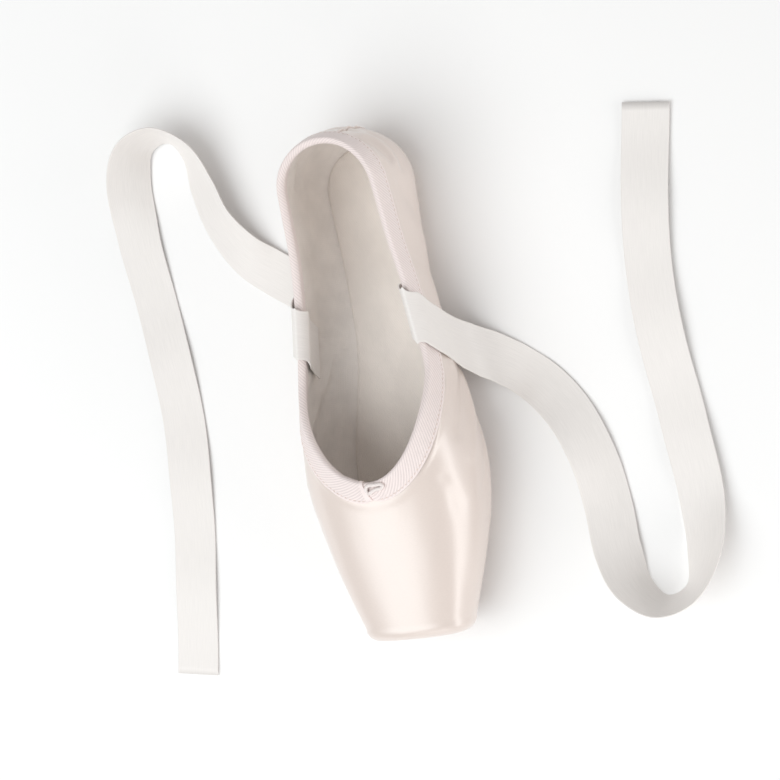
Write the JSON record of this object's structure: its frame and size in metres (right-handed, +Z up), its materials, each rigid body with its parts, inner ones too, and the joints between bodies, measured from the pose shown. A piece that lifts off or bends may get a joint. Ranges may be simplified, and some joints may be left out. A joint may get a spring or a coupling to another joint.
{
  "type": "pointe shoe",
  "caption": "Satin pointe shoe with a stiff toe box and flat platform, short leather sole, bound collar with a drawstring knot, and ankle ribbons laid out on the floor.",
  "frame": {"origin": "on the floor, under the middle of the shoe's length and width", "axes": "+X to the toe, +Y to the shoe's left side, +Z up"},
  "size_m": [0.269, 0.2917, 0.0611],
  "materials": {
    "satin": "pale pink satin, glossy along its weave",
    "sole_leather": "suede split leather, hatched under the forefoot",
    "sock": "plain cotton twill",
    "binding_tape": "matt ribbed twill tape",
    "elastic": "braided elastic cord",
    "ribbon": "soft satin ribbon"
  },
  "bodies": {
    "root": {"upper": "satin", "outsole": "sole_leather", "insole": "sock", "binding": "binding_tape", "drawstring_knot": "elastic", "ribbon_right": "ribbon", "ribbon_left": "ribbon"}
  },
  "joints": []
}
